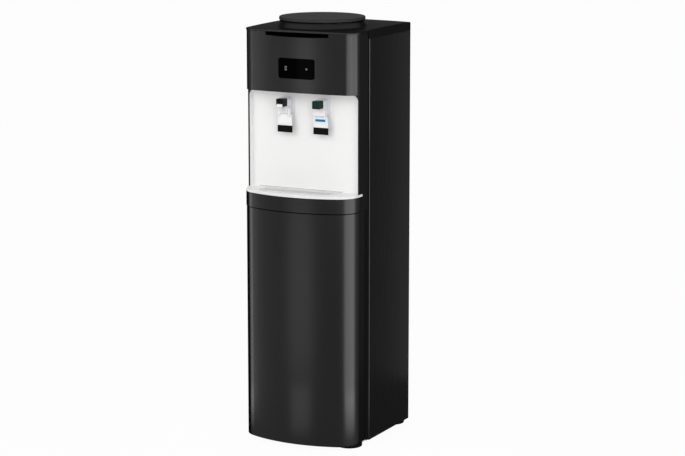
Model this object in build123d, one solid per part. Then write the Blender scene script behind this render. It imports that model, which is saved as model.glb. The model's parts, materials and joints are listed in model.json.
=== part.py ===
from build123d import *
import math
import os

# A free-standing, top-loading water dispenser with hot and cold taps and a storage cabinet.
# Millimetres. The origin is on the floor under the middle of the body, +Z up, front towards -Y.

# Overall size
body_width = 310.0
body_depth = 368.0

# Heights, stacked from the floor up
foot_height = 8.0
plinth_height = 4.8
door_height = 582.1
band_height = 36.2
ledge_height = 6.0
alcove_height = 244.6
panel_height = 146.3
seat_rise = 4.0
collar_height = 17.9
lid_height = 7.3

# Walls and clearances
sheet = 0.8
base_sheet = 1.5
wall = 2.5
seam_gap = 0.8
seat_gap = 0.3
run_gap = 0.05

# Plan of the front mouldings
front_inset = 2.0
front_depth = 129.0
lower_bow = 320.0
lower_corner = 60.0
upper_setback = 40.0
upper_bow = 1240.0
upper_corner = 31.0
column_depth = 55.0
alcove_depth = 18.0
alcove_corner = 17.0
ledge_return = 35.0
ledge_round = 2.5

# Steel panels
panel_flange = 16.0
front_bend = 2.0
rear_bend = 8.0
rear_recess = 34.0
rear_flange = 14.0
compartment_height = 217.0
vent_count = 9
vent_pitch = 9.0
vent_width = 4.0
vent_height = 34.0
vent_edge = 36.0
vent_drop = 26.0

# Base and feet
base_front_setback = 12.0
base_side_setback = 4.0
base_rim = 16.0
foot_radius = 32.0
foot_round = 2.0
foot_stud_radius = 4.0
foot_stud_length = 2.5
front_foot_edge = 33.0
front_foot_setback = 89.0
rear_foot_edge = 34.0
rear_foot_setback = 34.0

# Door, its frame and its hinge
door_setback = 1.0
door_wall = 3.0
knuckle_radius = 6.0
pin_radius = 3.0
pin_length = 18.0
pin_head_radius = 4.0
pin_head = 2.5
bracket_thickness = 2.5
bracket_width = 20.0
frame_depth = 12.0
post_width = 15.0
frame_rail = 14.0

# Ledge, drip tray and grille
tray_edge = 52.0
tray_setback = 19.0
tray_length = 53.0
tray_corner = 12.0
tray_depth = 22.0
tray_wall = 2.0
tray_rim = 3.0
tray_rim_height = 1.5
grille_thickness = 2.5
grille_slots = 21
grille_pitch = 9.0
grille_slot_width = 4.0
grille_slot_length = 30.0
tray_post_radius = 3.0

# Indicator window and finger slot
window_half_width = 49.5
window_height = 49.5
window_corner = 6.0
window_rise = 59.3
window_sink = 0.3
board_half_width = 60.0
board_height = 34.0
board_thickness = 1.6
board_setback = 10.0
board_post_radius = 3.0
lamp_radius = 2.5
lamp_length = 5.0
lamp_places = ((-29.0, 3.6), (-29.0, -3.6), (27.6, 0.0))
slot_half_width = 86.0
slot_end = 8.5
slot_dip = 2.5
scoop_depth = 22.0
scoop_drop = 1.0

# Top cover, bottle collar, funnel and lid
crown_rise = 8.0
crown_radius = 6000.0
crown_setback = 224.0
skirt_drop = 16.0
bottle_setback = 179.0
collar_radius = 103.0
collar_wall = 3.0
collar_ledge = 4.0
collar_flare = 8.0
flare_rise = 1.5
flare_drop = 3.0
cover_round = 2.0
lid_radius = 106.7
lid_round = 2.5
lid_wall = 2.5
lid_rim_drop = 6.0
lid_rim_wall = 2.0
lid_rim_gap = 0.5
funnel_depth = 60.0
funnel_lip = 3.0
funnel_cylinder = 30.0
funnel_neck_radius = 42.0
funnel_throat_radius = 30.0
spike_radius = 9.0
spike_bore = 6.0
spike_height = 62.0
spoke_width = 5.0
spoke_count = 4

# Cold tank
tank_radius = 60.0
tank_wall = 1.0
tank_height = 160.0
seal_height = 2.0
seal_width = 8.0
baffle_rise = 80.0
baffle_sheet = 2.0
baffle_gap = 1.0
baffle_tube_radius = 9.0
baffle_tube_wall = 2.0
baffle_hole_radius = 5.0
baffle_hole_count = 6
coil_tube_radius = 2.9
coil_gap = 0.2
coil_rise = 16.0
coil_pitch = 11.0
coil_half_turns = 11
coil_tail = 60.0
foam_wall = 13.5
foam_floor = 10.0
shelf_sheet = 1.2
shelf_front_gap = 4.0
shelf_lip = 12.0

# Hot tank
hot_tank_x = -45.0
hot_tank_radius = 42.0
hot_tank_height = 112.0
hot_tank_gap = 43.0
feed_gap = 8.0
heater_wall = 3.0
heater_height = 40.0
heater_rise = 14.0
jacket_wall = 7.0
jacket_floor = 12.0
jacket_top_gap = 6.0
thermostat_radius = 8.0
thermostat_height = 7.0
thermostat_flange = 2.0
thermostat_reach = 24.0

# Water tubes and drain
tube_radius = 4.0
tube_bore = 2.6
tube_hole_gap = 0.4
tube_drop = 20.0
tube_bend = 12.0
tap_elbow = 7.5
tap_bend = 7.0
feed_rise = 22.0
drain_rise = 27.0
drain_pipe_radius = 7.0
drain_pipe_bore = 4.4
drain_pipe_length = 16.0
drain_flange_radius = 12.0
drain_flange = 3.0
drain_cap_radius = 11.0
drain_cap_wall = 3.0

# Refrigeration
compressor_x = 15.0
compressor_setback = 88.0
compressor_radius = 54.0
compressor_height = 136.0
compressor_shell_wall = 3.5
compressor_weld = 3.0
compressor_weld_height = 5.0
compressor_lift = 8.0
compressor_dome = 27.0
pedestal_radius = 27.0
foot_plate_half_width = 80.0
foot_plate_half_depth = 48.0
foot_plate_sheet = 3.0
grommet_inset = 12.0
grommet_radius = 9.0
grommet_height = 16.0
grommet_neck = 5.0
terminal_width = 24.0
terminal_half_depth = 20.0
terminal_height = 52.0
terminal_rise = 62.0
condenser_edge = 50.0
liquid_edge = 14.0
condenser_rows = 15
condenser_pitch = 44.0
condenser_radius = 2.4
condenser_rise = 62.0
condenser_setback = 16.0
wire_radius = 0.8
wire_count = 18
wire_edge = 2.0
wire_overrun = 12.0
clip_half_width = 4.0
clip_half_height = 6.0
clip_end_rows = 2
line_radius = 3.0
suction_radius = 4.0
capillary_radius = 1.2
line_bend = 14.0
line_edge = 19.0
line_setback = 64.0
line_rise = 34.0
drier_radius = 8.0
drier_length = 80.0

# Taps, measured from the tap's axis in the alcove panel
tap_x = 49.5
tap_rise = 203.7
tap_plate_half_width = 19.0
tap_plate_height = 50.0
tap_plate = 3.0
tap_half_width = 11.5
tap_reach = 26.0
tap_up = 22.0
tap_down = 15.0
tap_round = 2.0
rib_count = 3
rib_pitch = 6.0
front_rib_pitch = 4.5
rib_width = 2.0
rib_height = 1.2
shank_radius = 9.0
shank_bore = 3.0
nut_radius = 14.0
nut_length = 6.0
cap_half_width = 10.5
cap_depth = 20.0
cap_height = 19.5
cap_overlap = 1.0
spout_radius = 4.0
lock_half_width = 8.0
lock_height = 7.0
lock_depth = 7.0
lock_proud = 3.0
lock_travel = 2.5
lever_pivot_reach = 20.0
lever_pivot_drop = 7.0
lever_trunnion_radius = 2.5
lever_trunnion_length = 2.8
lever_arm = 3.4
lever_arm_half_depth = 5.0
lever_half_width = 19.0
lever_plate = 3.5
lever_top_gap = 2.0
lever_length = 44.1
lever_lap = 6.0
lever_bar_back = 11.0
lever_bar_half_depth = 2.0
lever_bar_drop = 12.0
lever_bar_height = 3.0
pad_height = 16.5
pad_lap = 1.6
pad_wrap = 0.5
pad_round = 1.5
stem_radius = 3.0
stem_length = 28.0
stem_lift_gap = 1.2
stem_headroom = 5.0

# Switches, cord gland and screws at the back
switch_edge = 76.0
switch_drop = 42.0
switch_half_width = 34.0
switch_half_height = 20.0
switch_bezel = 3.0
switch_box_depth = 18.0
switch_box_inset = 4.0
rocker_spacing = 30.0
rocker_radius = 12.5
rocker_half_width = 9.0
rocker_gap = 0.4
rocker_proud = 4.0
rocker_tilt = 8.0
gland_edge = 44.0
gland_rise = 27.0
gland_radius = 11.0
gland_neck_radius = 8.0
gland_bore = 4.0
gland_flange = 3.0
gland_length = 12.0
screw_head_radius = 4.0
screw_head = 2.4
screw_radius = 1.8
screw_length = 7.0
screw_edge = 9.0
screw_rows = 4
screw_end = 24.0

# Stations worked out from the sizes above
side_x = body_width / 2
inner_x = side_x - sheet
front_x = side_x - front_inset
front_y = -body_depth / 2
rear_y = body_depth / 2
seam_y = front_y + front_depth
front_back_y = seam_y - seam_gap
upper_y = front_y + upper_setback
column_y = seam_y - column_depth
tub_front_y = column_y + wall + seat_gap
alcove_y = column_y + alcove_depth
alcove_back_y = alcove_y + wall
ledge_back_y = seam_y - ledge_return
frame_y = front_back_y - frame_depth
base_z = foot_height
base_top = base_z + base_sheet
door_z = base_z + plinth_height
door_top = door_z + door_height
band_z = door_top + seam_gap
ledge_z = band_z + band_height
ledge_top = ledge_z + ledge_height
alcove_top = ledge_top + alcove_height
panel_top = alcove_top + panel_height
cover_z = panel_top + seam_gap
crown_top = cover_z + crown_rise
crown_y = front_y + crown_setback
skirt_z = cover_z - skirt_drop
seat_z = cover_z + seat_rise
collar_top = seat_z + collar_height
lid_top = collar_top + lid_height

rear_sheet_y = rear_y - rear_recess
rear_inner_y = rear_sheet_y - sheet
compartment_z = base_z + compartment_height
bottle_y = front_y + bottle_setback

door_x = front_x - door_setback
pivot_x = door_x - knuckle_radius
pivot_y = frame_y - seam_gap - knuckle_radius
door_panel_y = pivot_y - knuckle_radius - wall - seat_gap
opening_x = front_x - post_width
opening_z0 = door_z + frame_rail
opening_z1 = door_top - frame_rail

tray_half_width = front_x - tray_edge
tray_y0 = front_y + tray_setback
tray_y1 = tray_y0 + tray_length
tray_rim_z = ledge_top + seat_gap
tray_top = tray_rim_z + tray_rim_height
tray_floor_z = tray_rim_z - tray_depth
grille_z = tray_top - grille_thickness

window_z = alcove_top + window_rise
board_y = upper_y + board_setback

funnel_z = seat_z - funnel_depth
seal_z = funnel_z - seal_height
tank_z = seal_z - tank_height
foam_z = tank_z - foam_floor
cold_shelf_z = foam_z - shelf_sheet
coil_radius = tank_radius + coil_gap + coil_tube_radius
foam_bore = coil_radius + coil_tube_radius + coil_gap
foam_radius = foam_bore + foam_wall
coil_z0 = tank_z + coil_rise
coil_z1 = coil_z0 + coil_pitch * coil_half_turns / 2

hot_tank_top = cold_shelf_z - hot_tank_gap
hot_tank_z = hot_tank_top - hot_tank_height
jacket_z = hot_tank_z - jacket_floor
hot_shelf_z = jacket_z - shelf_sheet
heater_radius = hot_tank_radius + heater_wall
jacket_bore = heater_radius + seat_gap
jacket_radius = jacket_bore + jacket_wall
hot_tank_y = bottle_y + jacket_radius + feed_gap

tap_z = ledge_top + tap_rise
nut_end_y = alcove_back_y + nut_length
tube_y = nut_end_y + tap_elbow
tube_z = cold_shelf_z - tube_drop
drain_x = hot_tank_x
drain_z = compartment_z + drain_rise

compressor_y = rear_y - compressor_setback
compressor_z = base_top + grommet_height + compressor_lift
foot_plate_z = base_top + grommet_height
liner_back_y = compressor_y - compressor_radius - compressor_weld - compressor_lift
condenser_half_width = inner_x - condenser_edge
condenser_y = rear_y - condenser_setback
condenser_z0 = compartment_z + condenser_rise
condenser_z1 = condenser_z0 + condenser_pitch * (condenser_rows - 1)
wire_pitch = 2 * (condenser_half_width - wire_edge) / (wire_count - 1)
liquid_x = inner_x - liquid_edge
line_x = inner_x - line_edge
line_y = rear_y - line_setback
line_z = compressor_z + line_rise
drier_z = compartment_z - drier_length

tap_front_y = alcove_y - tap_reach
cap_y0 = tap_front_y - cap_depth
cap_top = tap_z + tap_up + cap_overlap
cap_z = cap_top - cap_height
lever_y = alcove_y - lever_pivot_reach
lever_z = tap_z - lever_pivot_drop
lever_top = tap_z - tap_down - lever_top_gap
lever_bottom = lever_top - lever_length
plate_y1 = lever_y + lever_plate / 2 + lever_bar_half_depth
plate_y0 = plate_y1 - lever_plate
bar_y = lever_y + lever_bar_back
bar_top = lever_z - lever_bar_drop
stem_z = bar_top + stem_lift_gap

switch_x = inner_x - switch_edge
switch_z = skirt_z - switch_drop
gland_x = inner_x - gland_edge
vent_x = vent_edge - inner_x
screw_x = inner_x - screw_edge


def block(x0, x1, y0, y1, z0, z1):
    """A box between two corners."""
    return Pos((x0 + x1) / 2, (y0 + y1) / 2, (z0 + z1) / 2) * Box(x1 - x0, y1 - y0, z1 - z0)


def rod(x, y, z0, z1, radius):
    """An upright round bar."""
    return Pos(x, y, (z0 + z1) / 2) * Cylinder(radius, z1 - z0)


def rod_x(x0, x1, y, z, radius):
    """A round bar along X."""
    return Pos((x0 + x1) / 2, y, z) * Rot(0, 90, 0) * Cylinder(radius, x1 - x0)


def rod_y(x, y0, y1, z, radius):
    """A round bar along Y."""
    return Pos(x, (y0 + y1) / 2, z) * Rot(90, 0, 0) * Cylinder(radius, y1 - y0)


def prism(plan, z0, z1):
    """A plan outline raised from z0 to z1."""
    return extrude(Pos(0, 0, z0) * plan, z1 - z0, dir=(0, 0, 1))


def elevation(outline, y0, y1):
    """A front-view outline carried from y0 back to y1."""
    return extrude(Plane.XZ.offset(-y0) * outline, y1 - y0, dir=(0, 1, 0))


def turned(points, y):
    """A profile of radius and height points, turned about the upright axis at y."""
    profile = make_face(Polyline(*points, close=True))
    return Pos(0, y, 0) * revolve(Plane.XZ * profile, Axis.Z)


def round_corner(face, x, y, radius):
    """Round the corner of a flat outline that lies nearest to a point."""
    return fillet(face.vertices().sort_by_distance((x, y, 0))[0], radius)


def bowed_plan(half_width, apex_y, bow, corner, back_y):
    """Outline from above: a bowed front, rounded front corners and straight sides."""
    corner_x = half_width - corner
    bow_y = apex_y + bow
    corner_y = bow_y - math.sqrt((bow - corner) ** 2 - corner_x ** 2)
    centre = Vector(corner_x, corner_y)
    meet = Vector(0, bow_y) + (centre - Vector(0, bow_y)) * (bow / (bow - corner))
    middle = centre + ((meet - centre).normalized() + Vector(1, 0)).normalized() * corner
    side = Vector(half_width, corner_y)
    back = Vector(half_width, back_y)
    left_meet, left_middle, left_side, left_back = (Vector(-p.X, p.Y) for p in (meet, middle, side, back))
    return make_face([
        Line(back, side),
        ThreePointArc(side, middle, meet),
        ThreePointArc(meet, (0, apex_y), left_meet),
        ThreePointArc(left_meet, left_middle, left_side),
        Line(left_side, left_back),
        Line(left_back, back),
    ])


def lower_plan(inset, back_y):
    """Plan of the ledge, band and door, moved in by an inset."""
    return bowed_plan(front_x - inset, front_y + inset, lower_bow - inset, lower_corner - inset, back_y)


def upper_plan(inset, back_y):
    """Plan of the upper front panel, moved in by an inset."""
    return bowed_plan(front_x - inset, upper_y + inset, upper_bow - inset, upper_corner - inset, back_y)


def tray_plan(inset):
    """Plan of the drip tray, moved in by an inset."""
    return bowed_plan(
        tray_half_width - inset, tray_y0 + inset, lower_bow - inset, tray_corner - inset, tray_y1 - inset
    )


def arch(half_width, z0, z1, corner):
    """Front-view outline with rounded top corners."""
    face = make_face(Polyline(
        (-half_width, z0), (half_width, z0), (half_width, z1), (-half_width, z1), close=True,
    ))
    face = round_corner(face, half_width, z1, corner)
    return round_corner(face, -half_width, z1, corner)


def tube(points, bend, radius, bore=0.0):
    """A round tube along straight runs joined by bends, solid where the bore is nothing."""
    path = FilletPolyline(*points, radius=bend)
    section = Circle(radius)
    if bore:
        section -= Circle(bore)
    return sweep(Plane(origin=path @ 0, z_dir=path % 0) * section, path=path)


def group(solids):
    """Separate solids kept in one node."""
    return Compound(children=[part.solid() for part in solids])


# Base, feet and steel panels

def foot_places():
    """Middle of each foot, front pair first."""
    front = (front_x - front_foot_edge, front_y + front_foot_setback)
    rear = (inner_x - rear_foot_edge, rear_y - rear_foot_setback)
    return [(side * x, y) for x, y in (front, rear) for side in (-1, 1)]


def base_pan():
    """Pan that carries the feet, the compressor and the panels."""
    neck_x = side_x - panel_flange - seat_gap
    pan_y = (seam_y + front_bend, rear_y - rear_bend)
    pan = block(-inner_x, inner_x, *pan_y, base_z, base_top)
    pan += block(-neck_x, neck_x, frame_y, pan_y[0], base_z, base_top)
    front = bowed_plan(
        front_x - base_side_setback, front_y + base_front_setback,
        lower_bow, lower_corner - base_side_setback, front_back_y,
    )
    pan += prism(front, base_z, base_top)
    for side in (-1, 1):
        edges = sorted((side * inner_x, side * (inner_x - base_sheet)))
        pan += block(*edges, *pan_y, base_z, base_z + base_rim)
    for x, y in foot_places():
        pan -= rod(x, y, base_z - 1, base_top + 1, foot_stud_radius + seat_gap)
    return pan


def feet():
    """Four moulded feet, each with a stud through the pan."""
    made = []
    for x, y in foot_places():
        pad = rod(x, y, 0, base_z, foot_radius)
        pad = fillet(pad.edges().filter_by(GeomType.CIRCLE).sort_by(Axis.Z)[0], foot_round)
        made.append(pad + rod(x, y, base_z, base_top + foot_stud_length, foot_stud_radius))
    return group(made)


def side_panel(side):
    """Folded side panel with a front and a rear return."""
    lip_x = side_x - panel_flange
    plan = make_face(Polyline(
        (lip_x, seam_y), (side_x, seam_y), (side_x, rear_y), (lip_x, rear_y), (lip_x, rear_y - sheet),
        (inner_x, rear_y - sheet), (inner_x, seam_y + sheet), (lip_x, seam_y + sheet), close=True,
    ))
    plan = round_corner(plan, side_x, seam_y, front_bend)
    plan = round_corner(plan, inner_x, seam_y + sheet, front_bend - sheet)
    plan = round_corner(plan, side_x, rear_y, rear_bend)
    plan = round_corner(plan, inner_x, rear_y - sheet, rear_bend - sheet)
    panel = prism(plan, base_z, skirt_z)
    return panel if side > 0 else mirror(panel, about=Plane.YZ)


def screw_places():
    """Middle of each rear panel screw, as x and z."""
    first = compartment_z + screw_end
    pitch = (skirt_z - screw_end - first) / (screw_rows - 1)
    return [(side * screw_x, first + row * pitch) for side in (-1, 1) for row in range(screw_rows)]


def rear_panel():
    """Rear sheet, set in behind the condenser, with side returns."""
    panel = block(-inner_x, inner_x, rear_inner_y, rear_sheet_y, compartment_z, skirt_z)
    for side in (-1, 1):
        edges = sorted((side * inner_x, side * (inner_x - sheet)))
        panel += block(*edges, rear_sheet_y, rear_sheet_y + rear_flange, compartment_z, skirt_z)
    cut_y = (rear_inner_y - 1, rear_sheet_y + 1)
    panel -= rod_y(drain_x, *cut_y, drain_z, drain_pipe_radius + seat_gap)
    panel -= rod_y(gland_x, *cut_y, compartment_z + gland_rise, gland_neck_radius + seat_gap)
    box_x = switch_half_width - switch_box_inset + seat_gap
    box_z = switch_half_height - switch_box_inset + seat_gap
    panel -= block(switch_x - box_x, switch_x + box_x, *cut_y, switch_z - box_z, switch_z + box_z)
    vent_top = skirt_z - vent_drop
    for row in range(vent_count):
        x = vent_x + row * vent_pitch
        panel -= block(x, x + vent_width, *cut_y, vent_top - vent_height, vent_top)
    for x, z in screw_places():
        panel -= rod_y(x, *cut_y, z, screw_radius + seat_gap)
    return panel


def panel_screws():
    """Pan-head screws round the rear panel."""
    made = []
    for x, z in screw_places():
        head = rod_y(x, rear_sheet_y, rear_sheet_y + screw_head, z, screw_head_radius)
        head = fillet(head.edges().filter_by(GeomType.CIRCLE).sort_by(Axis.Y)[-1], screw_head / 2)
        slot = block(
            x - screw_head_radius, x + screw_head_radius,
            rear_sheet_y + screw_head / 2, rear_sheet_y + screw_head + 1, z - sheet / 2, z + sheet / 2,
        )
        made.append(head - slot + rod_y(x, rear_sheet_y - screw_length, rear_sheet_y, z, screw_radius))
    return group(made)


# Storage cabinet and door

def door_frame():
    """Hollow frame round the cabinet opening, open towards the back and the pan."""
    frame = block(-front_x, front_x, frame_y, front_back_y, base_top, band_z)
    outer_x = front_x - wall
    inner_wall_x = opening_x + wall
    hollow = block(-outer_x, outer_x, frame_y + wall, front_back_y + 1, base_top - 1, band_z - wall)
    hollow -= block(
        -inner_wall_x, inner_wall_x, frame_y, front_back_y + 1, opening_z0 - wall, opening_z1 + wall
    )
    opening = block(-opening_x, opening_x, frame_y - 1, front_back_y + 1, opening_z0, opening_z1)
    return frame - hollow - opening


def cabinet_liner():
    """Moulded cupboard behind the door."""
    x = opening_x - seat_gap
    z0 = opening_z0 + seat_gap
    z1 = opening_z1 - seat_gap
    liner = block(-x, x, frame_y, liner_back_y, z0, z1)
    return liner - block(-x + wall, x - wall, frame_y - 1, liner_back_y - wall, z0 + wall, z1 - wall)


def door_plan(inset, back_y):
    """Plan of the door, moved in by an inset."""
    return lower_plan(door_setback + inset, back_y)


def door_shell():
    """Bowed door, hollow, with a round knuckle down each rear edge."""
    shell = prism(door_plan(0, pivot_y), door_z, door_top)
    shell -= prism(door_plan(door_wall, pivot_y + 1), door_z + door_wall, door_top - door_wall)
    for side in (-1, 1):
        shell += rod(side * pivot_x, pivot_y, door_z, door_top, knuckle_radius)
    bore = pin_radius + run_gap
    shell -= rod(pivot_x, pivot_y, door_z - 1, door_z + pin_length + seat_gap, bore)
    shell -= rod(pivot_x, pivot_y, door_top - pin_length - seat_gap, door_top + 1, bore)
    return shell


def door_inner_panel():
    """Flat panel that closes the back of the door."""
    inset = door_wall + seat_gap
    slab = prism(door_plan(inset, pivot_y), door_z + inset, door_top - inset)
    return slab & block(-front_x, front_x, door_panel_y, door_panel_y + wall, 0, lid_top)


def door_hinge_pins():
    """Upper pin dropped through the band, and lower pin on a bracket before the frame."""
    upper = rod(pivot_x, pivot_y, door_top - pin_length, band_z + wall, pin_radius)
    upper += rod(pivot_x, pivot_y, band_z + wall, band_z + wall + pin_head, pin_head_radius)
    plate_top = door_z - seam_gap
    half = bracket_width / 2
    lower = block(
        pivot_x - half, pivot_x + knuckle_radius, pivot_y - half, frame_y,
        plate_top - bracket_thickness, plate_top,
    )
    lower += rod(pivot_x, pivot_y, plate_top, door_z + pin_length, pin_radius)
    return group([upper, lower])


# Band, ledge, drip tray and grille

def tray_band():
    """Band between the door and the ledge, open at the top and back."""
    band = prism(lower_plan(0, front_back_y), band_z, ledge_z)
    band -= prism(lower_plan(wall, front_back_y + 1), band_z + wall, ledge_z + 1)
    return band - rod(pivot_x, pivot_y, band_z - 1, band_z + wall + 1, pin_radius)


def tray_ledge():
    """Ledge with a bowed lip and a well for the drip tray."""
    ledge = prism(lower_plan(0, ledge_back_y), ledge_z, ledge_top)
    rim = ledge.edges().group_by(Axis.Z)[-1].filter_by(lambda edge: edge.center().Y < ledge_back_y - 1)
    ledge = fillet(rim, ledge_round)
    ledge -= prism(lower_plan(wall, ledge_back_y - wall), ledge_z - 1, ledge_top - wall)
    return ledge - prism(tray_plan(-seat_gap), ledge_z - 1, ledge_top + 1)


def tray_post_places():
    """Posts in the drip tray that carry the grille."""
    x = tray_half_width - tray_corner - tray_wall
    return [(side * x, y) for side in (-1, 1) for y in (tray_y0 + tray_length / 2, tray_y1 - tray_corner)]


def drip_tray():
    """Lift-out basin, hung in the ledge by its rim."""
    tray = prism(tray_plan(0), tray_floor_z, tray_top)
    tray += prism(tray_plan(-tray_rim), tray_rim_z, tray_top)
    tray -= prism(tray_plan(tray_wall), tray_floor_z + tray_wall, tray_top + 1)
    for x, y in tray_post_places():
        tray += rod(x, y, tray_floor_z + tray_wall, grille_z - seat_gap, tray_post_radius)
    return tray


def drip_grille():
    """Slotted plate that drops into the tray."""
    plate = tray_plan(tray_wall + seat_gap)
    middle = (tray_y0 + tray_y1) / 2
    first = -(grille_slots - 1) / 2 * grille_pitch
    for slot in range(grille_slots):
        x = first + slot * grille_pitch
        plate -= Pos(x, middle) * Rectangle(grille_slot_width, grille_slot_length)
    return prism(plate, grille_z, tray_top)


# Alcove and upper front

def alcove_panel():
    """Recessed panel behind the taps, with side and top returns."""
    outer_x = front_x - wall - seat_gap
    outside = arch(outer_x, ledge_top, alcove_top + wall, alcove_corner + wall)
    inside = arch(outer_x - wall, ledge_top - 1, alcove_top, alcove_corner)
    panel = elevation(outside, tub_front_y, alcove_back_y) - elevation(inside, tub_front_y - 1, alcove_y)
    for side in (-1, 1):
        panel -= rod_y(side * tap_x, alcove_y - 1, alcove_back_y + 1, tap_z, shank_radius + seat_gap)
    return panel


def window_outline(margin):
    """Front-view outline of the indicator window."""
    return Pos(0, window_z) * RectangleRounded(
        2 * (window_half_width + margin), window_height + 2 * margin, window_corner + margin
    )


def upper_shell(z0, z1):
    """Wall of the upper front between two heights."""
    hollow = prism(upper_plan(wall, front_back_y + 1), z0 - 1, z1 + 1)
    return prism(upper_plan(0, front_back_y), z0, z1) - hollow


def crown(drop):
    """Ball whose top is the crowned face of the top cover, lowered by a drop."""
    return Pos(0, crown_y, crown_top - crown_radius) * Rot(90, 0, 0) * Sphere(crown_radius - drop)


def slot_outline():
    """Front-view outline of the finger slot, deeper towards its middle."""
    end_z = panel_top - slot_end
    left_top, right_top = (-slot_half_width, panel_top + 1), (slot_half_width, panel_top + 1)
    left, right = (-slot_half_width, end_z), (slot_half_width, end_z)
    return make_face([
        Line(left_top, left),
        ThreePointArc(left, (0, end_z - slot_dip), right),
        Line(right, right_top),
        Line(right_top, left_top),
    ])


def finger_scoop():
    """Channel behind the finger slot, closed at its ends and back, that reaches up under the cover."""
    x = slot_half_width + wall
    z0 = panel_top - slot_end - slot_dip - scoop_drop
    y1 = upper_y + wall + scoop_depth
    scoop = block(-x, x, upper_y, y1 + wall, z0 - wall, crown_top)
    scoop -= block(-slot_half_width, slot_half_width, upper_y - 1, y1, z0, crown_top + 1)
    scoop &= prism(upper_plan(wall, front_back_y), z0 - wall, crown_top)
    return scoop & crown(wall + seat_gap)


def upper_front_panel():
    """Upper front with the window hole, the overhang's floor and the two side columns."""
    inner = front_x - wall
    panel = prism(upper_plan(0, front_back_y), alcove_top, panel_top)
    panel -= prism(upper_plan(wall, front_back_y + 1), alcove_top + wall, panel_top + 1)
    panel -= block(
        -inner, inner, tub_front_y - seat_gap, front_back_y + 1, alcove_top - 1, alcove_top + wall + seat_gap
    )
    columns = upper_shell(ledge_top, alcove_top)
    panel += columns & block(-side_x, side_x, column_y, front_back_y, ledge_top, alcove_top)
    for side in (-1, 1):
        edges = sorted((side * front_x, side * inner))
        panel += block(*edges, ledge_back_y + seat_gap, front_back_y, ledge_z, ledge_top)
    corners = make_face(Polyline(
        (-inner, alcove_top - alcove_corner), (inner, alcove_top - alcove_corner),
        (inner, alcove_top), (-inner, alcove_top), close=True,
    ))
    corners -= arch(inner, ledge_top, alcove_top, alcove_corner)
    panel += elevation(corners, column_y, column_y + wall)
    panel -= elevation(window_outline(seat_gap), upper_y - 1, upper_y + board_setback / 2)
    panel += finger_scoop()
    panel -= elevation(slot_outline(), upper_y - 1, upper_y + scoop_depth)
    for side in (-1, 1):
        x = side * (board_half_width - board_post_radius)
        post = rod_y(x, upper_y + wall / 2, board_y, window_z, board_post_radius)
        panel += post & prism(upper_plan(wall / 2, front_back_y), alcove_top, panel_top)
    return panel


def indicator_window():
    """Dark window, sunk a little into its hole."""
    skin = prism(upper_plan(window_sink, front_back_y), alcove_top, panel_top)
    skin -= prism(upper_plan(wall, front_back_y + 1), alcove_top - 1, panel_top + 1)
    return skin & elevation(window_outline(0), upper_y - 1, upper_y + board_setback / 2)


def indicator_board():
    """Board behind the window with its lamps."""
    board = block(
        -board_half_width, board_half_width, board_y, board_y + board_thickness,
        window_z - board_height / 2, window_z + board_height / 2,
    )
    lamps = [rod_y(x, board_y - lamp_length, board_y, window_z + z, lamp_radius) for x, z in lamp_places]
    return group([board] + lamps)


# Top cover, lid and bottle funnel

def cover_plan(inset):
    """Plan of the top cover, moved in by an inset."""
    plan = bowed_plan(
        side_x - inset, upper_y - seam_gap + inset, upper_bow - inset,
        upper_corner + front_inset - inset, rear_y - inset,
    )
    for side in (-1, 1):
        plan = round_corner(plan, side * (side_x - inset), rear_y - inset, rear_bend - inset)
    return plan


def bottle_collar():
    """Ring that flares at its foot, with a ledge inside for the funnel."""
    inside = collar_radius - collar_wall
    return turned([
        (inside - collar_ledge, seat_z - wall), (collar_radius, seat_z - wall),
        (collar_radius, seat_z + flare_rise), (collar_radius + collar_flare, seat_z + flare_rise),
        (collar_radius, collar_top - flare_drop), (collar_radius, collar_top),
        (inside, collar_top), (inside, seat_z), (inside - collar_ledge, seat_z),
    ], bottle_y)


def top_cover():
    """Crowned cover with a bottle collar, a thin lip in front and a deeper skirt at the sides and back."""
    cover = prism(cover_plan(0), cover_z, crown_top) & crown(0)
    cover = fillet(cover.faces().sort_by(Axis.Z)[-1].edges(), cover_round)
    rear = block(-side_x, side_x, front_back_y + seat_gap, rear_y, skirt_z, cover_z)
    cover += prism(cover_plan(0), skirt_z, cover_z) & rear
    cover -= prism(cover_plan(wall), skirt_z - 1, crown_top) & crown(wall)
    cover -= rod(0, bottle_y, skirt_z, collar_top, collar_radius - wall)
    return cover + bottle_collar()


def dust_lid():
    """Round lid with a rim that drops inside the collar."""
    lid = rod(0, bottle_y, collar_top + seat_gap, lid_top, lid_radius)
    lid = fillet(lid.edges().filter_by(GeomType.CIRCLE).sort_by(Axis.Z)[-1], lid_round)
    rim_radius = collar_radius - collar_wall - lid_rim_gap
    rim = rod(0, bottle_y, collar_top - lid_rim_drop, collar_top + seat_gap, rim_radius)
    hollow = rod(0, bottle_y, collar_top - lid_rim_drop - 1, lid_top - lid_wall, rim_radius - lid_rim_wall)
    return lid + rim - hollow


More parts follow.
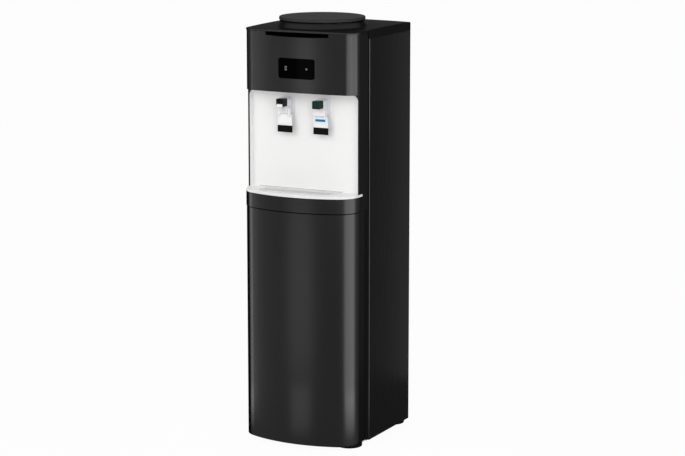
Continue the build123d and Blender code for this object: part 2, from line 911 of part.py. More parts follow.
def bottle_funnel():
    """Funnel hung in the collar, with a spike for the bottle on spokes in its throat."""
    lip = collar_radius - collar_wall - seat_gap
    body = lip - collar_ledge
    cone_top = seat_z - funnel_cylinder
    cone_low = funnel_z + 2 * wall
    neck = funnel_neck_radius
    funnel = turned([
        (lip, seat_z), (lip, seat_z + funnel_lip), (body - wall, seat_z + funnel_lip),
        (body - wall, cone_top + wall), (neck - wall, cone_low + wall), (neck - wall, funnel_z + wall),
        (funnel_throat_radius, funnel_z + wall), (funnel_throat_radius, funnel_z),
        (tank_radius, funnel_z), (tank_radius, funnel_z + wall), (neck, funnel_z + wall),
        (neck, cone_low), (body, cone_top), (body, seat_z),
    ], bottle_y)
    spike = rod(0, bottle_y, funnel_z, funnel_z + spike_height, spike_radius)
    spike = fillet(spike.edges().filter_by(GeomType.CIRCLE).sort_by(Axis.Z)[-1], spike_radius / 2)
    middle_out = (Align.MIN, Align.CENTER, Align.MIN)
    for step in range(spoke_count):
        spoke = Box(funnel_throat_radius + wall / 2, spoke_width, wall, align=middle_out)
        spike += Pos(0, bottle_y, funnel_z) * Rot(0, 0, step * 360 / spoke_count) * spoke
    spike -= rod(0, bottle_y, funnel_z - 1, funnel_z + spike_height - spike_radius, spike_bore)
    spike -= rod_y(0, bottle_y - tank_radius, bottle_y, funnel_z + spike_height / 2, spike_bore / 2)
    return funnel + spike


# Cold tank

def tank_seal():
    """Ring between the funnel's flange and the cold tank."""
    ring = rod(0, bottle_y, seal_z, funnel_z, tank_radius)
    return ring - rod(0, bottle_y, seal_z - 1, funnel_z + 1, tank_radius - seal_width)


def cold_tank():
    """Open-topped tank with a hole for the tap tube and one for the hot tank's feed."""
    tank = rod(0, bottle_y, tank_z, seal_z, tank_radius)
    tank -= rod(0, bottle_y, tank_z + tank_wall, seal_z + 1, tank_radius - tank_wall)
    for x in (0, tap_x):
        tank -= rod(x, bottle_y, tank_z - 1, tank_z + tank_wall + 1, tube_bore)
    return tank


def baffle_plate():
    """Plate that parts warm water from cold, on its own feed tube."""
    low = tank_z + tank_wall
    top = low + baffle_rise
    plate = rod(0, bottle_y, top - baffle_sheet, top, tank_radius - tank_wall - baffle_gap)
    plate += rod(0, bottle_y, low, top, baffle_tube_radius)
    plate -= rod(0, bottle_y, low - 1, top + 1, baffle_tube_radius - baffle_tube_wall)
    reach = (tank_radius + baffle_tube_radius) / 2
    for step in range(baffle_hole_count):
        angle = (step + 0.5) * 2 * math.pi / baffle_hole_count
        plate -= rod(
            reach * math.cos(angle), bottle_y + reach * math.sin(angle), top - baffle_sheet - 1, top + 1,
            baffle_hole_radius,
        )
    return plate


def coil_path():
    """Wound pipe: a straight tail, half turns that climb, and a straight tail."""
    def end(step):
        side = -1 if step % 2 == 0 else 1
        return Vector(side * coil_radius, bottle_y, coil_z0 + step * coil_pitch / 2)

    swing = math.hypot(coil_radius, coil_pitch / 4)
    runs = [Line(end(0) + Vector(0, coil_tail), end(0))]
    for step in range(coil_half_turns):
        across = -1 if step % 2 == 0 else 1
        middle = (end(step) + end(step + 1)) / 2 + Vector(0, across * swing)
        runs.append(ThreePointArc(end(step), middle, end(step + 1)))
    last = end(coil_half_turns)
    runs.append(Line(last, last + Vector(0, coil_tail)))
    return Wire([run.edge() for run in runs])


def evaporator_coil():
    """Refrigerant pipe wound round the cold tank."""
    path = coil_path()
    section = Plane(origin=path @ 0, z_dir=path % 0) * Circle(coil_tube_radius)
    return sweep(section, path=path)


def tank_foam():
    """Foam cup round the cold tank and its coil."""
    foam = rod(0, bottle_y, foam_z, seal_z, foam_radius)
    foam -= rod(0, bottle_y, tank_z, seal_z + 1, foam_bore)
    for x in (0, tap_x):
        foam -= rod(x, bottle_y, foam_z - 1, tank_z + 1, tube_radius + tube_hole_gap)
    for x, z in ((-coil_radius, coil_z0), (coil_radius, coil_z1)):
        foam -= rod_y(x, bottle_y, bottle_y + coil_tail + 1, z, coil_tube_radius + tube_hole_gap)
    return foam


def shelf(z, holes):
    """Folded shelf between the side panels and the rear panel, with round holes."""
    front = seam_y + sheet + shelf_front_gap
    plate = block(-inner_x, inner_x, front, rear_inner_y, z, z + shelf_sheet)
    plate += block(-inner_x, inner_x, front, front + shelf_sheet, z - shelf_lip, z)
    for x, y, radius in holes:
        plate -= rod(x, y, z - 1, z + shelf_sheet + 1, radius + tube_hole_gap)
    return plate


def line_holes():
    """Holes that the refrigerant lines need in a shelf."""
    return [(-line_x, line_y, capillary_radius), (line_x, line_y, suction_radius)]


def cold_tank_shelf():
    """Shelf under the cold tank."""
    return shelf(cold_shelf_z, line_holes() + [(x, bottle_y, tube_radius) for x in (0, tap_x)])


# Hot tank

def hot_tank_shelf():
    """Shelf under the hot tank."""
    return shelf(hot_shelf_z, line_holes() + [(hot_tank_x, hot_tank_y, tube_radius)])


def hot_rod(z0, z1, radius):
    """An upright round bar on the hot tank's axis."""
    return rod(hot_tank_x, hot_tank_y, z0, z1, radius)


def hot_tank():
    """Closed tank with holes for its feed, outlet and drain."""
    tank = hot_rod(hot_tank_z, hot_tank_top, hot_tank_radius)
    tank -= hot_rod(hot_tank_z + tank_wall, hot_tank_top - tank_wall, hot_tank_radius - tank_wall)
    tank -= hot_rod(hot_tank_z - 1, hot_tank_z + tank_wall + 1, tube_bore)
    tank -= rod(-tap_x, hot_tank_y, hot_tank_top - tank_wall - 1, hot_tank_top + 1, tube_bore)
    front = hot_tank_y - hot_tank_radius
    return tank - rod_y(hot_tank_x, front - 1, front + 2 * tank_wall + 1, hot_tank_z + feed_rise, tube_bore)


def heater_band():
    """Clamped heater round the lower part of the hot tank, open where the feed enters."""
    z0 = hot_tank_z + heater_rise
    band = hot_rod(z0, z0 + heater_height, heater_radius)
    band -= hot_rod(z0 - 1, z0 + heater_height + 1, hot_tank_radius)
    half = tube_radius + 2 * seat_gap
    return band - block(
        hot_tank_x - half, hot_tank_x + half, hot_tank_y - jacket_radius, hot_tank_y,
        z0 - 1, z0 + heater_height + 1,
    )


def hot_tank_jacket():
    """Insulating cup round the hot tank."""
    jacket = hot_rod(jacket_z, hot_tank_top - jacket_top_gap, jacket_radius)
    jacket -= hot_rod(hot_tank_z, hot_tank_top, jacket_bore)
    jacket -= hot_rod(jacket_z - 1, hot_tank_z + 1, tube_radius + tube_hole_gap)
    return jacket - rod_y(
        hot_tank_x, hot_tank_y - jacket_radius - 1, hot_tank_y, hot_tank_z + feed_rise,
        tube_radius + tube_hole_gap,
    )


def thermostats():
    """Two snap discs on top of the hot tank."""
    made = []
    for side in (-1, 1):
        x = hot_tank_x + side * thermostat_reach
        disc = rod(x, hot_tank_y, hot_tank_top, hot_tank_top + thermostat_height, thermostat_radius)
        rim = thermostat_radius + thermostat_flange
        flange = rod(x, hot_tank_y, hot_tank_top, hot_tank_top + thermostat_flange, rim)
        made.append(disc + flange)
    return group(made)


# Water tubes and drain

def water_tubes():
    """Outlet tubes to the taps, feed to the hot tank, and drain with its outlet at the back."""
    hot_out = tube(
        [(-tap_x, nut_end_y, tap_z), (-tap_x, tube_y, tap_z), (-tap_x, tube_y, tube_z),
         (-tap_x, hot_tank_y, tube_z), (-tap_x, hot_tank_y, hot_tank_top)],
        [tap_bend, tube_bend, tube_bend], tube_radius, tube_bore,
    )
    cold_out = tube(
        [(tap_x, nut_end_y, tap_z), (tap_x, tube_y, tap_z), (tap_x, tube_y, tube_z),
         (tap_x, bottle_y, tube_z), (tap_x, bottle_y, tank_z)],
        [tap_bend, tube_bend, tube_bend], tube_radius, tube_bore,
    )
    feed_z = hot_tank_z + feed_rise
    feed = tube(
        [(0, bottle_y, tank_z), (0, bottle_y, feed_z), (hot_tank_x, bottle_y, feed_z),
         (hot_tank_x, hot_tank_y - hot_tank_radius, feed_z)],
        [tube_bend, tap_bend], tube_radius, tube_bore,
    )
    drain = tube(
        [(drain_x, hot_tank_y, hot_tank_z), (drain_x, hot_tank_y, drain_z), (drain_x, rear_inner_y, drain_z)],
        tube_bend, tube_radius, tube_bore,
    )
    outlet = rod_y(drain_x, rear_inner_y, rear_sheet_y + drain_pipe_length, drain_z, drain_pipe_radius)
    outlet += rod_y(drain_x, rear_sheet_y, rear_sheet_y + drain_flange, drain_z, drain_flange_radius)
    outlet -= rod_y(drain_x, rear_inner_y - 1, rear_sheet_y + drain_pipe_length + 1, drain_z, drain_pipe_bore)
    return group([hot_out, cold_out, feed, drain, outlet])


def drain_cap():
    """Cap that pulls off the drain outlet."""
    y0 = rear_sheet_y + drain_flange + seat_gap
    y1 = rear_sheet_y + drain_pipe_length + drain_cap_wall
    cap = rod_y(drain_x, y0, y1, drain_z, drain_cap_radius)
    cap = fillet(cap.edges().filter_by(GeomType.CIRCLE).sort_by(Axis.Y)[-1], drain_cap_wall / 2)
    return cap - rod_y(
        drain_x, y0 - 1, rear_sheet_y + drain_pipe_length + seat_gap, drain_z, drain_pipe_radius + run_gap
    )


# Refrigeration

def foot_plate_holes():
    """Middle of each grommet under the compressor."""
    x = foot_plate_half_width - grommet_inset
    y = foot_plate_half_depth - grommet_inset
    return [(compressor_x + a * x, compressor_y + b * y) for a in (-1, 1) for b in (-1, 1)]


def compressor_rod(z0, z1, radius):
    """An upright round bar on the compressor's axis."""
    return rod(compressor_x, compressor_y, z0, z1, radius)


def compressor():
    """Hollow welded pot on a foot plate."""
    top = compressor_z + compressor_height
    pot = compressor_rod(compressor_z, top, compressor_radius)
    pot = fillet(pot.edges().filter_by(GeomType.CIRCLE), compressor_dome)
    inner = compressor_shell_wall
    hollow = compressor_rod(compressor_z + inner, top - inner, compressor_radius - inner)
    hollow = fillet(hollow.edges().filter_by(GeomType.CIRCLE), compressor_dome - inner)
    middle = compressor_z + compressor_height / 2
    pot += compressor_rod(middle, middle + compressor_weld_height, compressor_radius + compressor_weld)
    plate = block(
        compressor_x - foot_plate_half_width, compressor_x + foot_plate_half_width,
        compressor_y - foot_plate_half_depth, compressor_y + foot_plate_half_depth,
        foot_plate_z, foot_plate_z + foot_plate_sheet,
    )
    pot += plate
    pot += compressor_rod(foot_plate_z, compressor_z + compressor_dome, pedestal_radius)
    for x, y in foot_plate_holes():
        pot -= rod(x, y, foot_plate_z - 1, foot_plate_z + foot_plate_sheet + 1, grommet_neck + seat_gap)
    return pot - hollow


def compressor_grommets():
    """Rubber grommets between the pan and the foot plate."""
    made = []
    for x, y in foot_plate_holes():
        lower = rod(x, y, base_top, foot_plate_z, grommet_radius)
        made.append(lower + rod(x, y, foot_plate_z, foot_plate_z + 2 * foot_plate_sheet, grommet_neck))
    return group(made)


def terminal_cover():
    """Cover over the compressor's terminals and relay."""
    z0 = compressor_z + terminal_rise - terminal_height
    x1 = compressor_x - compressor_radius / 2
    x0 = compressor_x - compressor_radius - terminal_width
    ends = (compressor_y - terminal_half_depth, compressor_y + terminal_half_depth)
    cover = block(x0, x1, *ends, z0, z0 + terminal_height)
    cover = fillet(cover.edges().group_by(Axis.X)[0], wall)
    return cover - compressor_rod(z0 - 1, z0 + terminal_height + 1, compressor_radius + seat_gap)


def condenser_coil():
    """Serpentine pipe across the back."""
    points = []
    for row in range(condenser_rows):
        z = condenser_z0 + row * condenser_pitch
        reach = condenser_half_width + condenser_pitch / 2
        ends = (reach, -reach) if row % 2 == 0 else (-reach, reach)
        points += [(x, condenser_y, z) for x in ends]
    points[0] = (condenser_half_width, condenser_y, condenser_z0)
    points[-1] = (-condenser_half_width, condenser_y, condenser_z1)
    return tube(points, condenser_pitch / 2 - run_gap, condenser_radius)


def condenser_wires():
    """Upright wires welded to the serpentine."""
    y = condenser_y + condenser_radius + wire_radius + run_gap
    low, high = condenser_z0 - wire_overrun, condenser_z1 + wire_overrun
    first = wire_edge - condenser_half_width
    return group([rod(first + step * wire_pitch, y, low, high, wire_radius) for step in range(wire_count)])


def condenser_clips():
    """Clips that hold the serpentine off the rear panel."""
    made = []
    for row in (clip_end_rows, condenser_rows - 1 - clip_end_rows):
        z = condenser_z0 + row * condenser_pitch
        for side in (-1, 1):
            x = side * (wire_count / 2 - 1) * wire_pitch
            clip = block(
                x - clip_half_width, x + clip_half_width, rear_sheet_y, condenser_y + condenser_radius + wall,
                z - clip_half_height, z + clip_half_height,
            )
            pipe = (x - clip_half_width - 1, x + clip_half_width + 1, condenser_y, z)
            made.append(clip - rod_x(*pipe, condenser_radius + run_gap))
    return group(made)


def filter_drier():
    """Upright drier at the end of the condenser."""
    drier = rod(-liquid_x, condenser_y, drier_z, compartment_z, drier_radius)
    return fillet(drier.edges().filter_by(GeomType.CIRCLE), drier_radius / 2)


def refrigerant_lines():
    """Discharge, liquid, capillary and suction lines."""
    rear_of_pot = compressor_y + compressor_radius
    suction_side = line_y - compressor_y - suction_radius
    suction_x = compressor_x + math.sqrt(compressor_radius ** 2 - suction_side ** 2)
    discharge = tube(
        [(compressor_x, rear_of_pot, line_z), (compressor_x, condenser_y, line_z),
         (liquid_x, condenser_y, line_z), (liquid_x, condenser_y, condenser_z0),
         (condenser_half_width, condenser_y, condenser_z0)],
        [line_bend, line_bend, line_bend], line_radius,
    )
    liquid = tube(
        [(-condenser_half_width, condenser_y, condenser_z1), (-liquid_x, condenser_y, condenser_z1),
         (-liquid_x, condenser_y, compartment_z)],
        line_bend, condenser_radius,
    )
    capillary = tube(
        [(-liquid_x, condenser_y, drier_z), (-liquid_x, condenser_y, line_z), (-liquid_x, line_y, line_z),
         (-line_x, line_y, line_z + 2 * line_bend), (-line_x, line_y, coil_z0),
         (-coil_radius, line_y, coil_z0), (-coil_radius, bottle_y + coil_tail, coil_z0)],
        line_bend / 2, capillary_radius,
    )
    suction = tube(
        [(coil_radius, bottle_y + coil_tail, coil_z1), (coil_radius, line_y, coil_z1),
         (line_x, line_y, coil_z1), (line_x, line_y, line_z), (suction_x, line_y, line_z)],
        line_bend, suction_radius,
    )
    return group([discharge, liquid, capillary, suction])


# Taps

def tap_body(x):
    """Tap body on its wall plate, with a shank through the panel and ribs on its sides."""
    sides = (x - tap_half_width, x + tap_half_width)
    body = block(*sides, tap_front_y, alcove_y, tap_z - tap_down, tap_z + tap_up)
    body = fillet(body.edges().filter_by(Axis.Y), tap_round)
    half = tap_plate_height / 2
    plate = block(
        x - tap_plate_half_width, x + tap_plate_half_width, alcove_y - tap_plate, alcove_y,
        tap_z - half, tap_z + half,
    )
    body += fillet(plate.edges().filter_by(Axis.Y), tap_round)
    for rib in range(rib_count):
        y = tap_front_y + tap_round + rib * rib_pitch
        body += block(
            x - tap_half_width - rib_height, x + tap_half_width + rib_height, y, y + rib_width,
            lever_z + 2 * lever_arm_half_depth, tap_z + tap_up - tap_round,
        )
        front_x0 = x + (rib - (rib_count - 1) / 2) * front_rib_pitch - rib_width / 2
        body += block(
            front_x0, front_x0 + rib_width, tap_front_y - rib_height, tap_front_y,
            tap_z - tap_down + tap_round, cap_z - seat_gap,
        )
    body += rod_y(x, alcove_y, nut_end_y, tap_z, shank_radius)
    body -= rod_y(x, bar_y, nut_end_y + 1, tap_z, shank_bore)
    body -= rod(x, bar_y, tap_z - tap_down - 1, stem_z + stem_length + stem_headroom, stem_radius + run_gap)
    return body - rod_x(x - tap_half_width - 1, x + tap_half_width + 1, lever_y, lever_z,
                        lever_trunnion_radius + run_gap)


def tap_cap(x, has_lock):
    """Spout cap on the front of a tap, with a notch where the lock button sits."""
    cap = block(x - cap_half_width, x + cap_half_width, cap_y0, tap_front_y, cap_z, cap_top)
    cap = fillet(cap.edges().filter_by(Axis.Y) + cap.edges().group_by(Axis.Y)[0], tap_round)
    cap -= rod(x, tap_front_y - cap_depth / 2, cap_z - 1, cap_z + cap_height / 2, spout_radius)
    if has_lock:
        notch = lock_half_width + seat_gap
        back = cap_y0 - lock_proud + lock_depth + lock_travel + seat_gap
        cap -= block(x - notch, x + notch, cap_y0 - 1, back, cap_z - 1, cap_z + lock_height + seat_gap)
    return cap


def hot_lock_button():
    """Push button that frees the hot lever."""
    y0 = cap_y0 - lock_proud
    button = block(
        -tap_x - lock_half_width, -tap_x + lock_half_width, y0, y0 + lock_depth, cap_z, cap_z + lock_height
    )
    return fillet(button.edges().group_by(Axis.Y)[0] + button.edges().filter_by(Axis.Y), tap_round)


def lever(x):
    """Lever: a face plate, two arms with trunnions and a bar under the valve stem."""
    arm_x0 = tap_half_width + seat_gap
    arm_x1 = arm_x0 + lever_arm
    plate = block(x - lever_half_width, x + lever_half_width, plate_y0, plate_y1, lever_bottom, lever_top)
    plate = fillet(plate.edges().filter_by(Axis.Y).group_by(Axis.Z)[-1], 2 * tap_round)
    for side in (-1, 1):
        edges = sorted((x + side * arm_x0, x + side * arm_x1))
        plate += block(
            *edges, lever_y - lever_arm_half_depth, lever_y + lever_arm_half_depth,
            lever_top - lever_lap, lever_z + lever_arm_half_depth,
        )
        plate += block(*edges, lever_y, bar_y + lever_bar_half_depth, bar_top - lever_bar_height, bar_top)
        pin = sorted((x + side * arm_x0, x + side * (arm_x0 - lever_trunnion_length)))
        plate += rod_x(*pin, lever_y, lever_z, lever_trunnion_radius)
    return plate + block(
        x - arm_x1, x + arm_x1, bar_y - lever_bar_half_depth, bar_y + lever_bar_half_depth,
        bar_top - lever_bar_height, bar_top,
    )


def lever_pad(x):
    """Push pad that wraps the foot of a lever."""
    side = lever_half_width + pad_wrap
    pad = block(
        x - side, x + side, plate_y0 - pad_lap, plate_y1 + pad_lap, lever_bottom - pad_wrap,
        lever_bottom - pad_wrap + pad_height,
    )
    pad = fillet(pad.edges().filter_by(Axis.Z), pad_round)
    return pad - block(
        x - lever_half_width, x + lever_half_width, plate_y0, plate_y1, lever_bottom, lever_top
    )


def valve_stem(x):
    """Stem that the lever's bar lifts."""
    return rod(x, bar_y, stem_z, stem_z + stem_length, stem_radius)


def tap_nuts():
    """Nuts that hold the taps to the alcove panel."""
    made = []
    for side in (-1, 1):
        nut = extrude(
            Plane.XZ.offset(-alcove_back_y) * Pos(side * tap_x, tap_z) * RegularPolygon(nut_radius, 6),
            nut_length, dir=(0, 1, 0),
        )
        made.append(nut - rod_y(side * tap_x, alcove_back_y - 1, nut_end_y + 1, tap_z, shank_radius))
    return group(made)


# Switches and cord gland

def rocker_places():
    """Middle of each rocker along X."""
    return switch_x - rocker_spacing / 2, switch_x + rocker_spacing / 2


def switch_plate():
    """Bezel on the rear panel with a box behind it for the two rockers."""
    plate = block(
        switch_x - switch_half_width, switch_x + switch_half_width, rear_sheet_y, rear_sheet_y + switch_bezel,
        switch_z - switch_half_height, switch_z + switch_half_height,
    )
    plate = fillet(plate.edges().filter_by(Axis.Y), wall)
    box_x = switch_half_width - switch_box_inset
    box_z = switch_half_height - switch_box_inset
    plate += block(
        switch_x - box_x, switch_x + box_x, rear_sheet_y - switch_box_depth, rear_sheet_y,
        switch_z - box_z, switch_z + box_z,
    )
    half = rocker_half_width + rocker_gap
    pivot = rear_sheet_y + switch_bezel
    for x in rocker_places():
        plate -= rod_x(x - half, x + half, pivot, switch_z, rocker_radius + rocker_gap)
    return plate


def rocker(x):
    """Rocker with two slanted faces, resting on its lower half."""
    pivot = rear_sheet_y + switch_bezel
    body = rod_x(x - rocker_half_width, x + rocker_half_width, pivot, switch_z, rocker_radius)
    outward = (Align.CENTER, Align.MIN, Align.CENTER)
    cut = Box(4 * rocker_radius, 2 * rocker_radius, 4 * rocker_radius, align=outward)
    for turn in (0, 2 * rocker_tilt):
        body -= Pos(x, pivot, switch_z) * Rot(turn, 0, 0) * Pos(0, rocker_proud, 0) * cut
    return body


def cord_gland():
    """Round gland in the rear panel for a supply lead."""
    z = compartment_z + gland_rise
    front = rear_sheet_y - gland_length
    gland = rod_y(gland_x, rear_sheet_y, rear_sheet_y + gland_flange, z, gland_radius)
    gland += rod_y(gland_x, front, rear_sheet_y, z, gland_neck_radius)
    return gland - rod_y(gland_x, front - 1, rear_sheet_y + gland_flange + 1, z, gland_bore)


nodes = {
    "base_pan": base_pan(),
    "feet": feet(),
    "side_panel_left": side_panel(-1),
    "side_panel_right": side_panel(1),
    "rear_panel": rear_panel(),
    "panel_screws": panel_screws(),
    "door_frame": door_frame(),
    "cabinet_liner": cabinet_liner(),
    "door_shell": door_shell(),
    "door_inner_panel": door_inner_panel(),
    "door_hinge_pins": door_hinge_pins(),
    "tray_band": tray_band(),
    "tray_ledge": tray_ledge(),
    "drip_tray": drip_tray(),
    "drip_grille": drip_grille(),
    "alcove_panel": alcove_panel(),
    "upper_front_panel": upper_front_panel(),
    "indicator_window": indicator_window(),
    "indicator_board": indicator_board(),
    "top_cover": top_cover(),
    "dust_lid": dust_lid(),
    "bottle_funnel": bottle_funnel(),
    "tank_seal": tank_seal(),
    "cold_tank": cold_tank(),
    "baffle_plate": baffle_plate(),
    "evaporator_coil": evaporator_coil(),
    "tank_foam": tank_foam(),
    "cold_tank_shelf": cold_tank_shelf(),
    "hot_tank_shelf": hot_tank_shelf(),
    "hot_tank": hot_tank(),
    "heater_band": heater_band(),
    "hot_tank_jacket": hot_tank_jacket(),
    "thermostats": thermostats(),
    "water_tubes": water_tubes(),
    "drain_cap": drain_cap(),
    "compressor": compressor(),
    "compressor_grommets": compressor_grommets(),
    "terminal_cover": terminal_cover(),
    "condenser_coil": condenser_coil(),
    "condenser_wires": condenser_wires(),
    "condenser_clips": condenser_clips(),
    "filter_drier": filter_drier(),
    "refrigerant_lines": refrigerant_lines(),
    "hot_tap_body": tap_body(-tap_x),
    "cold_tap_body": tap_body(tap_x),
    "hot_tap_cap": tap_cap(-tap_x, True),
    "cold_tap_cap": tap_cap(tap_x, False),
    "hot_lock_button": hot_lock_button(),
    "hot_lever": lever(-tap_x),
    "cold_lever": lever(tap_x),
    "hot_pad": lever_pad(-tap_x),
    "cold_pad": lever_pad(tap_x),
    "hot_stem": valve_stem(-tap_x),
    "cold_stem": valve_stem(tap_x),
    "tap_nuts": tap_nuts(),
    "switch_plate": switch_plate(),
    "heating_rocker": rocker(rocker_places()[0]),
    "cooling_rocker": rocker(rocker_places()[1]),
    "cord_gland": cord_gland(),
}

os.makedirs("parts", exist_ok=True)
for name, shape in nodes.items():
    export_step(shape, f"parts/{name}.step")
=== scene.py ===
import json
import math

import bmesh
import bpy
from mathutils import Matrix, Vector


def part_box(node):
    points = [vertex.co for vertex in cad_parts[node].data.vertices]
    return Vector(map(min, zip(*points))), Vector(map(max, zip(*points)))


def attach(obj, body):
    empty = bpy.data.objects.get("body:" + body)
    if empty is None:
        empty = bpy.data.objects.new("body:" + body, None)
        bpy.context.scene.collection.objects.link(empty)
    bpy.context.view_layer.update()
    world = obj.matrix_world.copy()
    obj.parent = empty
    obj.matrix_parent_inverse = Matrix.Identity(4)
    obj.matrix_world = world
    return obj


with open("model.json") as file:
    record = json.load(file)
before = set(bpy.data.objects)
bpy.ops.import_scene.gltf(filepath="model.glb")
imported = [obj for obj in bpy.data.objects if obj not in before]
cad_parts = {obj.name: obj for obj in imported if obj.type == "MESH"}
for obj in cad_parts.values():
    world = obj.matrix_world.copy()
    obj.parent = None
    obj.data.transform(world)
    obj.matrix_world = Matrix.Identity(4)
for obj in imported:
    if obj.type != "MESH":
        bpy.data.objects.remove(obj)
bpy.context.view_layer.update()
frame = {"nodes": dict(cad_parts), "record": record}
nodes = frame["nodes"]
scene = bpy.context.scene

# Camera: place and reach in metres, angles in degrees, lens and sensor in millimetres
camera_place = (2.5786, -5.0343, 1.5878)
camera_tilt = -10.64
camera_turn = 26.64
camera_lens = 120.42
camera_sensor = 36.0
camera_reach = 100.0

# Colours, linear
front_black = (0.0034, 0.0034, 0.0040)
cover_black = (0.008, 0.008, 0.0085)
panel_black = (0.0036, 0.0036, 0.0041)
lid_black = (0.036, 0.036, 0.038)
pad_black = (0.0045, 0.0045, 0.0050)
fitting_black = (0.016, 0.016, 0.017)
coil_black = (0.012, 0.012, 0.013)
window_black = (0.0006, 0.0006, 0.0008)
# Near-black for the painted shade sheets and lines in gaps, seams and the finger slot
shade_black = (0.0010, 0.0010, 0.0012)
moulding_white = (0.82, 0.82, 0.815)
liner_white = (0.72, 0.72, 0.70)
floor_white = (0.9, 0.9, 0.9)
tap_grey = (0.73, 0.73, 0.755)
tray_grey = (0.74, 0.75, 0.75)
sheet_grey = (0.40, 0.41, 0.42)
mark_grey = (0.12, 0.125, 0.13)
foam_cream = (0.80, 0.77, 0.68)
tube_milk = (0.72, 0.73, 0.70)
copper_tone = (0.60, 0.27, 0.15)
steel_tone = (0.55, 0.55, 0.56)
cap_green = (0.0035, 0.020, 0.016)
board_green = (0.02, 0.12, 0.05)
rocker_green = (0.015, 0.24, 0.05)
rocker_red = (0.45, 0.02, 0.015)
stripe_blue = (0.045, 0.12, 0.19)
label_cream = (0.84, 0.81, 0.72)
label_blue = (0.60, 0.76, 0.88)
label_haze = (0.70, 0.76, 0.86)
label_mist = (0.74, 0.77, 0.86)
label_pink = (0.80, 0.73, 0.74)

# Grain and gloss shared by the finishes, with the relief in metres
even = (1, 1, 1)
upright = (1, 1, 0.012)
drawn = (1, 1, 0.05)
spread_low = 0.3
spread_high = 0.7
broad_grain = 4.0
plain_detail = 3.0
plain_spread = 0.12
plain_relief = 0.00004
plain_ior = 1.45
moulding_relief = 0.00001
moulding_rough = 0.35
moulding_ior = 1.3
label_rough = 0.4
black_grain = 900.0
black_detail = 4.0
black_spread = 0.05
black_relief = 0.000004
black_ior = 1.26
relief_strength = 0.5
turn_blend = 0.5
fade_start = 0.2
# Painted light on the tray ledge: its upright sides darkened and its top lightened
ledge_side_shade = 0.88
ledge_top_light = 1.1
crease_angle = 28

# Label on the cold tap: gaps and sizes in metres, places of the bands as shares of the height
pad_proud = 0.0016
plate_drop = 0.0200
label_film = 0.0003
label_side_gap = 0.001
label_foot_gap = 0.0004
label_top_gap = 0.0015
label_corner = 0.002
stripe_left_gap = 0.005
stripe_right_gap = 0.006
stripe_rise = 0.0175
stripe_half = 0.0028
stripe_corner = 0.001
tap_label_side_gap = 0.003
tap_label_end_gap = 0.001
tap_label_corner = 0.0015
lever_bands = ((0.22, label_cream), (0.42, label_blue), (0.85, label_blue), (1.0, label_haze))
tap_bands = ((0.2, label_mist), (0.5, label_pink))

# Painted shade in the finger slot: sizes of the dark sheets on its back and floor, in metres
slot_half = 0.0858
slot_rise = 0.0032
slot_height = 0.0135
slot_depth = 0.0240
slot_lip = 0.0045
slot_film = 0.0003
slot_corner = 0.001
thin_corner = 0.0001

# Painted shade lines in the seams and gaps, in metres
door_bow = 0.319
door_corner = 0.059
door_line_proud = 0.0001
door_line_film = 0.0003
door_line_drop = 0.0016
door_line_rise = 0.0003
# Painted shade under the lid's edge
lid_line_radius = 0.1056
lid_line_inner = 0.1050
lid_line_drop = 0.0070
lid_line_height = 0.0026
# Painted shade where the alcove's back meets the ledge
alcove_wall = 0.0025
alcove_line_left = -0.130
alcove_line_right = 0.100
alcove_line_film = 0.0002
alcove_line_height = 0.0006

# Marks in the window, in metres: name, place across, rise from the middle, half width, half height
marks = (
    ("mark_upper", -0.029, 0.0030, 0.0032, 0.0022),
    ("mark_lower", -0.029, -0.0030, 0.0032, 0.0022),
    ("mark_right", 0.0276, 0.0, 0.0025, 0.0025),
)
mark_proud = 0.0001
mark_depth = 0.0004
mark_corner = 0.0016
window_bow = 1.24

# Floor and sky: the floor's half width in metres, the rest as shares
floor_half = 30.0
floor_rough = 0.9
backdrop_share = 0.95
sky_light = 0.55
sky_look = 1.0

# Lamps: name, place, target, width and height in metres, power in watts
room_lamps = (
    ("key", (-0.8, -3.6, 2.4), (0, 0, 0.6), 2.6, 2.0, 48),
    ("fill", (2.4, -2.6, 1.8), (0, 0, 0.6), 1.8, 1.8, 36),
)
gloss_lamps = (
    ("front_glow", (-0.16, -0.80, 0.28), (0.03, -0.16, 0.28), 0.33, 0.52, 1.12),
    ("front_foot", (-0.017, -0.333, 0.06), (0.03, -0.18, 0.06), 0.10, 0.12, 0.068),
    ("right_low", (0.50, -0.145, 0.32), (0.14, -0.12, 0.32), 0.42, 0.62, 5.8),
    ("right_foot", (0.31, -0.132, 0.05), (0.14, -0.12, 0.05), 0.20, 0.10, 0.28),
    ("right_high", (0.505, -0.596, 0.86), (0.14, -0.12, 0.95), 0.55, 0.4, 5.0),
    ("right_edge", (0.74, -0.15, 0.86), (0.14, -0.12, 0.95), 0.70, 0.4, 6.4),
    ("left_low", (-0.363, -0.175, 0.32), (-0.14, -0.14, 0.32), 0.11, 0.62, 1.55),
    ("left_foot", (-0.262, -0.165, 0.05), (-0.14, -0.14, 0.05), 0.05, 0.10, 0.06),
    ("left_high", (-0.562, -0.552, 0.86), (-0.14, -0.12, 0.95), 0.10, 0.4, 1.15),
    ("high_glow", (-0.105, -0.417, 0.89), (0.02, -0.144, 0.94), 0.06, 0.24, 0.19),
    ("rear_glow", (0.30, 0.50, 0.56), (0.155, 0.19, 0.56), 0.05, 1.08, 0.85),
)


# Shader nodes
def new_material(name):
    """A node material with its shader."""
    material = bpy.data.materials.new(name)
    material.use_nodes = True
    tree = material.node_tree
    return material, tree, tree.nodes["Principled BSDF"]


def noise(tree, scale, stretch=even, detail=plain_detail):
    """Noise in the object's own space, stretched by axis."""
    place = tree.nodes.new("ShaderNodeTexCoord")
    mapping = tree.nodes.new("ShaderNodeMapping")
    mapping.inputs["Scale"].default_value = stretch
    texture = tree.nodes.new("ShaderNodeTexNoise")
    texture.inputs["Scale"].default_value = scale
    texture.inputs["Detail"].default_value = detail
    tree.links.new(place.outputs["Object"], mapping.inputs["Vector"])
    tree.links.new(mapping.outputs["Vector"], texture.inputs["Vector"])
    return texture.outputs["Fac"]


